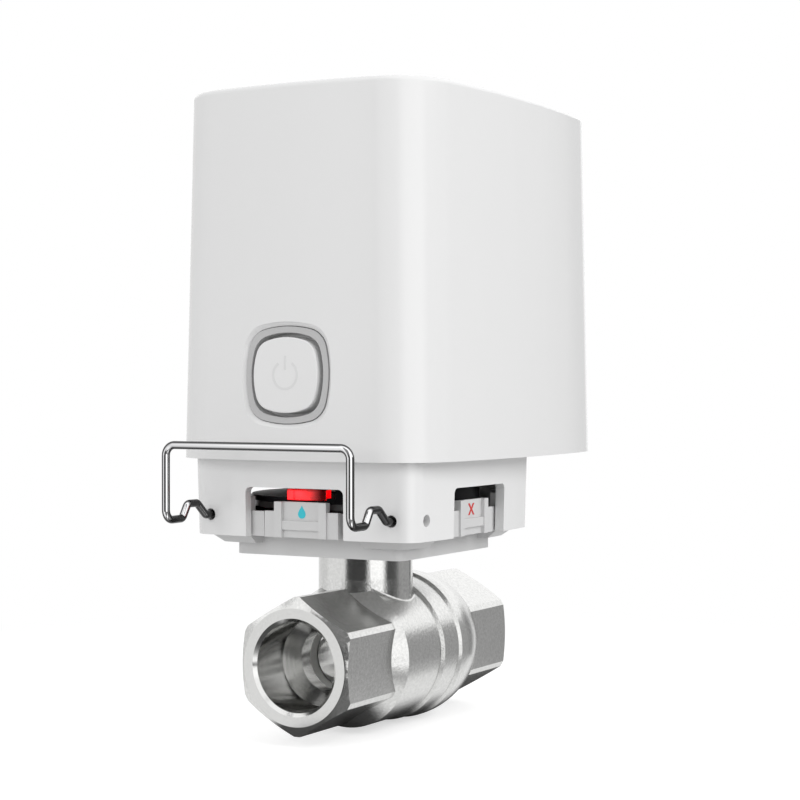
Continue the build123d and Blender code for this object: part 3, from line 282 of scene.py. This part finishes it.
def nickel(name):
    """Satin nickel: blasted outside, smoother on the neck, turned in the ports and on their ends."""
    made, tree, shader = finish(name)
    place = add_node(tree, "ShaderNodeTexCoord").outputs["Object"]
    flat = add_node(tree, "ShaderNodeSeparateXYZ", {"Vector": place}).outputs
    radius = maths(tree, "SQRT", maths(tree, "ADD", maths(tree, "MULTIPLY", flat["X"], flat["X"]),
                                       maths(tree, "MULTIPLY", flat["Z"], flat["Z"])))
    inside = smooth_step(tree, radius, (TURNED_RADIUS + 0.2) * MM, TURNED_RADIUS * MM)
    neck = smooth_step(tree, flat["Z"], NECK_START * MM, (NECK_START + 0.8) * MM)
    skin = use_group(tree, grain, Size_mm=0.62, Depth_mm=NICKEL_GRAIN, Spread=0.10)
    rings = use_group(tree, turning, Pitch_mm=0.22, Depth_mm=0.0008)
    calm = maths(tree, "SUBTRACT", 1.0, maths(tree, "MULTIPLY", neck, 0.55))
    cast = maths(tree, "MULTIPLY", maths(tree, "SUBTRACT", 1.0, inside), calm)
    height = maths(tree, "ADD", maths(tree, "MULTIPLY", skin["Height"], cast),
                   maths(tree, "MULTIPLY", rings["Height"], inside))
    bumps = maths(tree, "SUBTRACT", product(tree, skin["Height"], 1000 / NICKEL_GRAIN), 0.5)
    speckle = product(tree, bumps, product(tree, cast, NICKEL_SPECKLE))
    shade = tinted(tree, NICKEL_COLOUR, maths(tree, "ADD", skin["Mottle"], speckle))
    tree.links.new(shade, shader["Base Color"])
    smoother = maths(tree, "MAXIMUM", inside, neck)
    rough = maths(tree, "SUBTRACT", maths(tree, "ADD", NICKEL_ROUGHNESS, product(tree, skin["Mottle"], 0.5)),
                  maths(tree, "MULTIPLY", smoother, 0.08))
    tree.links.new(rough, shader["Roughness"])
    shader["Metallic"].default_value = 1.0
    bump = add_node(tree, "ShaderNodeBump", {"Height": height, "Distance": 1.0})
    tree.links.new(bump.outputs[0], shader["Normal"])
    return made


nickel_plate = nickel("nickel_plate")

# %% [markdown]
# ## The clear red mark, the light guides and the board
# The mark is clear red plastic: light goes through it. A painted glow with painted highlight spots, brightest
# near its middle and fading into painted shade at its right end and top edge, keeps it red against the black
# dial.

# %% Clear and printed finishes
def clear(name, colour, transmission, roughness):
    made, tree, shader = finish(name)
    skin = use_group(tree, grain, Size_mm=0.6, Depth_mm=0.001, Spread=0.05)
    tree.links.new(tinted(tree, colour, skin["Mottle"]), shader["Base Color"])
    tree.links.new(maths(tree, "ADD", roughness, skin["Mottle"]), shader["Roughness"])
    shader["Transmission Weight"].default_value = transmission
    shader["IOR"].default_value = 1.49
    bump = add_node(tree, "ShaderNodeBump", {"Height": skin["Height"], "Distance": 1.0})
    tree.links.new(bump.outputs[0], shader["Normal"])
    return made


# Painted light on the mark: a glow with noisy highlight spots, fading into painted shade towards its right
# end and its top edge.
MARK_RIGHT_PAINTED_SHADE = (2.8, -1.6)
MARK_TOP_PAINTED_SHADE = (38.3, 37.5)
MARK_LEFT_PAINTED_RISE = (-5.4, -3.2)
MARK_PAINTED_GLOW = (1.0, 0.03, 0.04)


def fade_between(tree, value, ends):
    """A smooth step between two places given in millimetres."""
    return smooth_step(tree, value, ends[0] * MM, ends[1] * MM)


def mark_finish():
    """The mark: clear red, with a painted glow and painted highlight spots near its middle, and painted shade
    towards its right end and top edge.
    """
    made = clear("mark_red", (0.80, 0.004, 0.008), 0.9, 0.05)
    tree = made.node_tree
    shader = tree.nodes["Principled BSDF"].inputs
    place = add_node(tree, "ShaderNodeTexCoord").outputs["Object"]
    spot = add_node(tree, "ShaderNodeSeparateXYZ", {"Vector": place}).outputs
    noise = add_node(tree, "ShaderNodeTexNoise", {"Vector": place, "Scale": 420.0, "Detail": 0.0})
    painted_shade_ends = product(tree, fade_between(tree, spot["X"], MARK_RIGHT_PAINTED_SHADE),
                     fade_between(tree, spot["Z"], MARK_TOP_PAINTED_SHADE))
    painted_rise = product(tree, fade_between(tree, spot["X"], MARK_LEFT_PAINTED_RISE), 0.65)
    # Painted highlight spots from noise.
    painted_highlight_spots = maths(tree, "ADD", -0.1, product(tree, noise.outputs["Fac"], 1.9))
    glow = product(tree, product(tree, painted_shade_ends, maths(tree, "ADD", 0.35, painted_rise)), painted_highlight_spots)
    tree.links.new(scaled(tree, MARK_PAINTED_GLOW, glow), shader["Emission Color"])
    shader["Emission Strength"].default_value = 1.0
    return made


mark_red = mark_finish()
guide_clear = clear("guide_clear", (0.80, 0.84, 0.86), 0.7, 0.2)
board_green = plastic("board_green", (0.012, 0.12, 0.05), roughness=0.28, size=0.9, depth=0.003, spread=0.25)

# %% [markdown]
# ## Dressing the solids
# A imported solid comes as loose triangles. For each one that shows, a copy is merged, its flat faces
# are joined again, and its sharp edges get a tiny round, as every moulded or plated edge has. The
# rest of the surface is shaded smooth. Inner pieces that nothing shows keep their mesh.

# %% Helpers for dressing
def put(mesh, name, material, body):
    piece = bpy.data.objects.new(name, mesh)
    bpy.context.scene.collection.objects.link(piece)
    mesh.materials.clear()
    mesh.materials.append(material)
    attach(piece, body)
    return piece


BODY_OF = {node: body for body, nodes in frame["record"]["behaviour"]["bodies"].items() for node in nodes}
SHARP = math.radians(20)
BUTTON_PROUD = 0.7
BUTTON_FRONT_DEPTH = 1.6


def rounded_copy(node, material, width, proud=0.0):
    """A merged copy of a solid. Its sharp edges are rounded and its front comes forward, in millimetres."""
    mesh = frame["nodes"][node].data.copy()
    mesh.name = node + "_skin"
    shape = bmesh.new()
    shape.from_mesh(mesh)
    bmesh.ops.remove_doubles(shape, verts=shape.verts, dist=1e-6)
    bmesh.ops.dissolve_degenerate(shape, edges=shape.edges, dist=1e-6)
    bmesh.ops.dissolve_limit(shape, angle_limit=math.radians(0.6), verts=shape.verts, edges=shape.edges)
    if proud:
        front = min(v.co.y for v in shape.verts) + BUTTON_FRONT_DEPTH * MM
        for v in shape.verts:
            if v.co.y < front:
                v.co.y -= proud * MM
    if width:
        sharp = [e for e in shape.edges if e.is_manifold and e.calc_face_angle() > SHARP]
        bmesh.ops.bevel(shape, geom=sharp, offset=width * MM, segments=2, profile=0.5, affect="EDGES",
                        clamp_overlap=True, material=-1, offset_type="OFFSET")
    for face in shape.faces:
        face.smooth = True
    shape.to_mesh(mesh)
    shape.free()
    mesh.set_sharp_from_angle(angle=SHARP)
    piece = put(mesh, node + "_skin", material, BODY_OF[node])
    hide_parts(node)
    even = piece.modifiers.new("flat_faces_stay_flat", "WEIGHTED_NORMAL")
    even.keep_sharp = True
    even.weight = 50
    print(node, "faces:", len(mesh.polygons))
    return piece


def dress(material, *nodes):
    for node in nodes:
        mesh = frame["nodes"][node].data
        mesh.materials.clear()
        mesh.materials.append(material)


# %% Pieces that show
for node, material, width in (
        ("valve_body", nickel_plate, 0.12), ("end_cap", nickel_plate, 0.12),
        ("ball", steel_polished, 0.15), ("retaining_clip", wire_polished, 0),
        ("adapter_plate", adapter_grey, 0.12), ("base_housing", base_white_painted_lift, 0.15),
        ("upper_case", case_white, 0.15), ("light_ring", ring_grey, 0.08),
        ("function_button", button_white, 0.25), ("indicator_dial", dial_black, 0.15),
        ("indicator_mark", mark_red, 0.15), ("dial_carrier", carrier_alloy, 0.1)):
    rounded_copy(node, material, width, BUTTON_PROUD if node == "function_button" else 0.0)

# %% Inner pieces
dress(nickel_plate, "gland_nut")
dress(steel_turned, "stem", "gear_axles", "motor_shaft", "output_bush", "motor_pinion")
dress(screw_zinc, "gland_washer", "frame_screws", "motor_screws", "board_screws", "case_screws")
dress(seat_white, "seat_inlet", "seat_outlet", "stem_thrust_ring")
dress(seal_black, "cap_seal", "stem_seals", "output_seal", "case_seal")
dress(gear_cream, "output_gear", "second_gear", "first_gear")
dress(frame_grey, "gearbox_frame", "battery_holder")
dress(motor_can, "motor", "radio_module")
dress(part_black, "motor_cap", "position_sensors", "capacitors", "button_switch", "switch_plunger")
dress(board_green, "main_board", "supply_terminals")
dress(contact_spring, "battery_contacts", "antenna", "position_magnet")
dress(guide_clear, "light_guides")
dress(cell_blue, "battery_cells")

# %% [markdown]
# ## Signs on the window tabs
# The tabs carry small printed signs: a drop where the water flows, and a cross where it's shut. A
# print has almost no thickness, so each sign is a flat outline pushed out a twentieth of a
# millimetre from the panel it lies on.

# %% Outlines pushed out of a face
PRINT_THICKNESS = 0.05 * MM
PANEL_REACH = 27.25 * MM
SIGN_HEIGHT = 33.45 * MM


def raised_outline(points, name):
    """A thin plate from an outline in the XZ plane, facing -Y and centred on the origin."""
    shape = bmesh.new()
    corners = [shape.verts.new((x * MM, 0, z * MM)) for x, z in points]
    face = shape.faces.new(corners)
    grown = bmesh.ops.extrude_face_region(shape, geom=[face])["geom"]
    bmesh.ops.translate(shape, verts=[v for v in grown if isinstance(v, bmesh.types.BMVert)],
                        vec=(0, -PRINT_THICKNESS, 0))
    bmesh.ops.recalc_face_normals(shape, faces=shape.faces)
    mesh = bpy.data.meshes.new(name)
    shape.to_mesh(mesh)
    shape.free()
    return mesh


def drop_points(width, height, steps=40):
    """A drop: a round bottom that narrows to a point at the top."""
    points = []
    for k in range(steps):
        angle = 2 * math.pi * k / steps
        lean = (1 + math.cos(angle)) / 2
        points.append((width / 2 * math.sin(angle) * (1 - lean ** 1.6) ** 0.9 * 1.18,
                       height * (lean - 0.5)))
    return points


def cross_points(width, height, stroke):
    """The outline of a letter-like cross, as one polygon of twelve corners."""
    length = math.hypot(width, height)
    gap_x = stroke / 2 * length / height
    gap_z = stroke / 2 * length / width
    right, top = width / 2, height / 2
    return [(right, top), (gap_x, 0), (right, -top), (right - 2 * gap_x, -top), (0, -gap_z),
            (2 * gap_x - right, -top), (-right, -top), (-gap_x, 0), (-right, top),
            (2 * gap_x - right, top), (0, gap_z), (right - 2 * gap_x, top)]


def sign(name, points, material, quarter):
    """Puts a sign on the tab of one side: 0 front, 1 right, 2 back, 3 left."""
    mesh = raised_outline(points, name)
    turn = Matrix.Rotation(math.radians(90 * quarter), 4, "Z")
    mesh.transform(Matrix.Translation(STEM) @ turn @ Matrix.Translation((0, -PANEL_REACH, SIGN_HEIGHT)))
    return put(mesh, name, material, BODY_OF["adapter_plate"])


for name, quarter in (("drop_front", 0), ("drop_back", 2)):
    sign(name, drop_points(2.05, 2.85), drop_cyan, quarter)
for name, quarter in (("cross_right", 1), ("cross_left", 3)):
    sign(name, cross_points(3.0, 2.6, 0.5), cross_red, quarter)

# %% [markdown]
# ## The symbol on the button
# The button carries a faint ring with a gap and a short bar, the common sign for power. A small
# rectangle spun round the sign's centre makes the ring, and a stretched cube the bar.

# %% Power symbol
SYMBOL_RADIUS = 3.0
SYMBOL_STROKE = 0.55
SYMBOL_GAP = 34


def symbol_mesh():
    shape = bmesh.new()
    inner, outer = (SYMBOL_RADIUS - SYMBOL_STROKE / 2) * MM, (SYMBOL_RADIUS + SYMBOL_STROKE / 2) * MM
    start = math.radians(SYMBOL_GAP)
    corners = [(inner, 0), (outer, 0), (outer, -PRINT_THICKNESS), (inner, -PRINT_THICKNESS)]
    profile = [shape.verts.new((r * math.sin(start), y, r * math.cos(start))) for r, y in corners]
    edges = [shape.edges.new((profile[k], profile[(k + 1) % 4])) for k in range(4)]
    made = bmesh.ops.spin(shape, geom=profile + edges, cent=(0, 0, 0), axis=(0, 1, 0),
                          angle=math.radians(360 - 2 * SYMBOL_GAP), steps=48, use_merge=False)
    last = [g for g in made["geom_last"] if isinstance(g, bmesh.types.BMVert)]
    shape.faces.new(profile)
    middle = sum((v.co for v in last), Vector()) / 4
    across = (last[0].co - middle).normalized()
    last.sort(key=lambda v: math.atan2((v.co - middle).dot(Vector((0, 1, 0))), (v.co - middle).dot(
        Vector((across.x, 0, across.z)).normalized())))
    shape.faces.new(last)
    bar = bmesh.ops.create_cube(shape, size=1.0)["verts"]
    bmesh.ops.scale(shape, verts=bar, vec=(SYMBOL_STROKE * MM, PRINT_THICKNESS, 3.0 * MM))
    bmesh.ops.translate(shape, verts=bar, vec=(0, -PRINT_THICKNESS / 2, 2.6 * MM))
    bmesh.ops.recalc_face_normals(shape, faces=shape.faces)
    mesh = bpy.data.meshes.new("power_symbol")
    shape.to_mesh(mesh)
    shape.free()
    return mesh


low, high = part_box("function_button")
CASE_LEAN = math.atan2(1.5, 81.3)
BUTTON_MIDDLE = 63.2
FACE_ABOVE_LOW_EDGE = 0.15
symbol = symbol_mesh()
button_face = low.y
symbol_place = (0, button_face + (FACE_ABOVE_LOW_EDGE - BUTTON_PROUD) * MM, BUTTON_MIDDLE * MM)
symbol.transform(Matrix.Translation(symbol_place) @ Matrix.Rotation(-CASE_LEAN, 4, "X"))
put(symbol, "power_symbol", symbol_grey, BODY_OF["function_button"])
print("button face at", round(button_face / MM, 2))

# %% [markdown]
# ## Floor and light
# The object stands on a plain pale floor that fades into the white backdrop. Both are white to the camera
# through Light Path, so no extra light falls on the object for it. Metal needs something to mirror: what
# reflections see is another thing. In reflections the floor is painted darker, with a painted shadow under
# the object and two painted dark patches, one before its front end and one to its right. The backdrop has
# darker panels at fixed directions, as black cards stand beside a product table.

# %% Floor
FLOOR_RADIUS = 0.22
FLOOR_MIDDLE = Vector((0, 45, 0)) * MM
floor_shape = bmesh.new()
bmesh.ops.create_circle(floor_shape, segments=96, radius=FLOOR_RADIUS, cap_ends=True)
floor_mesh = bpy.data.meshes.new("floor")
floor_shape.to_mesh(floor_mesh)
floor_shape.free()
floor_mesh.transform(Matrix.Translation((FLOOR_MIDDLE.x, FLOOR_MIDDLE.y, cad_box[0].z - 0.05 * MM)))
floor = bpy.data.objects.new("floor", floor_mesh)
bpy.context.scene.collection.objects.link(floor)

floor_finish, tree, shader = finish("floor_white")
tree.nodes.remove(tree.nodes["Principled BSDF"])
leave = tree.nodes["Material Output"]
path = add_node(tree, "ShaderNodeLightPath").outputs
place = add_node(tree, "ShaderNodeTexCoord").outputs["Object"]
apart = add_node(tree, "ShaderNodeVectorMath", {0: place, 1: FLOOR_MIDDLE}, operation="DISTANCE")
away = apart.outputs["Value"]
rim = smooth_step(tree, away, 0.3 * FLOOR_RADIUS, 0.95 * FLOOR_RADIUS)
FLOOR_SEEN, FLOOR_MIRRORED = 0.60, 0.9
RIGHT_PAINTED_DARK, FRONT_PAINTED_DARK = 0.55, 0.9
seen = maths(tree, "MAXIMUM", path["Is Camera Ray"], path["Is Transmission Ray"])
rim_light = maths(tree, "ADD", FLOOR_SEEN, product(tree, rim, 0.40))
seen_light = product(tree, seen, rim_light)
spot = add_node(tree, "ShaderNodeSeparateXYZ", {"Vector": place}).outputs
# Painted shadow and painted dark patches, seen only in reflections: a strip under the valve along its pipe, a
# patch before its front end, and one to its right.
outside_painted_shadow = fade_between(tree, maths(tree, "ABSOLUTE", spot["X"]), (7, 15))
right_painted_dark = product(tree, fade_between(tree, spot["X"], (24, 38)), RIGHT_PAINTED_DARK)
front_painted_dark = product(tree, fade_between(tree, spot["X"], (-6, 4)), fade_between(tree, spot["Y"], (-1, -6)))
painted_dark_patches = maths(tree, "MAXIMUM", right_painted_dark, product(tree, front_painted_dark, FRONT_PAINTED_DARK))
unpainted_floor = product(tree, outside_painted_shadow, maths(tree, "SUBTRACT", 1.0, painted_dark_patches))
mirror_light = product(tree, product(tree, path["Is Glossy Ray"], FLOOR_MIRRORED), unpainted_floor)
lit = maths(tree, "ADD", seen_light, mirror_light)
FLOOR_PALE = 0.62
fade = maths(tree, "MULTIPLY", rim, seen)
# In reflections the floor's colour is painted five times darker, as painted shade.
keep = maths(tree, "MULTIPLY", maths(tree, "SUBTRACT", 1.0, fade),
             maths(tree, "SUBTRACT", 1.0, maths(tree, "MULTIPLY", path["Is Glossy Ray"], 0.8)))
albedo = maths(tree, "MULTIPLY", keep, FLOOR_PALE)
pale = add_node(tree, "ShaderNodeCombineXYZ", {"X": albedo, "Y": albedo, "Z": albedo}).outputs[0]
diffuse = add_node(tree, "ShaderNodeBsdfDiffuse", {"Color": pale})
glow = add_node(tree, "ShaderNodeEmission", {"Strength": lit})
both = add_node(tree, "ShaderNodeAddShader", {0: diffuse.outputs[0], 1: glow.outputs[0]})
open_air = add_node(tree, "ShaderNodeBsdfTransparent")
beyond = product(tree, product(tree, path["Is Glossy Ray"], fade_between(tree, away, (62, 90))),
                 fade_between(tree, spot["Y"], (-60, -40)))
surface = add_node(tree, "ShaderNodeMixShader", {0: beyond, 1: both.outputs[0], 2: open_air.outputs[0]})
tree.links.new(surface.outputs[0], leave.inputs["Surface"])
floor_mesh.materials.append(floor_finish)

# %% Backdrop with soft panels for reflections
VIEW_TURN = math.radians(-60.46)
PANELS = ((-180, 1.1), (-150, 0.85), (-112, 0.85), (-100, 1.0), (-52, 1.0), (-44, 0.06), (2, 0.06),
          (9, 1.0), (13, 1.5), (42, 1.5), (48, 0.9), (54, 0.08), (78, 0.12), (92, 0.42), (134, 0.42),
          (140, 0.08), (150, 1.0), (180, 1.1))
DARK_SIDE = math.radians(-20)
world = bpy.data.worlds.new("studio")
bpy.context.scene.world = world
world.use_nodes = True
tree = world.node_tree
tree.nodes.clear()
leave = add_node(tree, "ShaderNodeOutputWorld")
path = add_node(tree, "ShaderNodeLightPath").outputs
toward = add_node(tree, "ShaderNodeTexCoord").outputs["Generated"]
turned = add_node(tree, "ShaderNodeVectorRotate", {"Vector": toward, "Axis": (0, 0, 1), "Angle": -VIEW_TURN},
                  rotation_type="AXIS_ANGLE").outputs[0]
part = add_node(tree, "ShaderNodeSeparateXYZ", {"Vector": turned}).outputs
azimuth = maths(tree, "ARCTAN2", part["Y"], part["X"])
share = maths(tree, "ADD", maths(tree, "DIVIDE", azimuth, 2 * math.pi), 0.5)
ramp = add_node(tree, "ShaderNodeValToRGB", {"Fac": share})
PANEL_TOP = 2.5
PANEL_EDGE_LOW, PANEL_EDGE_HIGH = 0.20, 0.27
stops = ramp.color_ramp.elements
for k, (degrees, level) in enumerate(PANELS):
    where = (degrees + 180) / 360
    stop = stops[k] if k < 2 else stops.new(where)
    stop.position = where
for k, (degrees, level) in enumerate(PANELS):
    stops[k].color = (level / PANEL_TOP,) * 3 + (1,)
panels = maths(tree, "MULTIPLY", ramp.outputs["Color"], PANEL_TOP)
above = smooth_step(tree, part["Z"], PANEL_EDGE_LOW, PANEL_EDGE_HIGH)
dark_side = smooth_step(tree, maths(tree, "COSINE", maths(tree, "SUBTRACT", azimuth, DARK_SIDE)),
                        math.cos(math.radians(34)), math.cos(math.radians(22)))
dark_side = maths(tree, "MULTIPLY", dark_side, smooth_step(tree, part["Z"], 0.85, 0.72))
above = maths(tree, "MULTIPLY", above, maths(tree, "SUBTRACT", 1.0, maths(tree, "MULTIPLY", dark_side, 0.85)))
ceiling = 1.3
mirrored = maths(tree, "ADD", maths(tree, "MULTIPLY", panels, maths(tree, "SUBTRACT", 1.0, above)),
                 maths(tree, "MULTIPLY", above, ceiling))
AMBIENT = 0.62
strength = maths(tree, "ADD", maths(tree, "MULTIPLY", path["Is Glossy Ray"], mirrored),
                 maths(tree, "MULTIPLY", maths(tree, "SUBTRACT", 1.0, path["Is Glossy Ray"]),
                       maths(tree, "MAXIMUM", AMBIENT, maths(tree, "MAXIMUM", path["Is Camera Ray"],
                                                              path["Is Transmission Ray"]))))
glow = add_node(tree, "ShaderNodeBackground", {"Color": (1, 1, 1, 1), "Strength": strength})
tree.links.new(glow.outputs[0], leave.inputs["Surface"])


# %% Soft lamps
def soft_lamp(name, place, target, size, power):
    data = bpy.data.lights.new(name, "AREA")
    data.shape = "RECTANGLE"
    data.size, data.size_y = size
    data.energy = power
    lamp = bpy.data.objects.new(name, data)
    lamp.location = place
    lamp.rotation_euler = (Vector(target) - Vector(place)).to_track_quat("-Z", "Y").to_euler()
    lamp.visible_glossy = False
    bpy.context.scene.collection.objects.link(lamp)


soft_lamp("key_lamp", (1.4, 0.0, 0.8), (0, 0.04, 0.06), (0.9, 0.9), 12.0)
soft_lamp("front_lamp", (-0.1, -1.4, 0.6), (0, 0.04, 0.06), (0.9, 0.9), 6.5)
soft_lamp("rear_lamp", (-0.6, 1.4, 0.9), (0, 0.04, 0.06), (0.9, 0.9), 4.0)
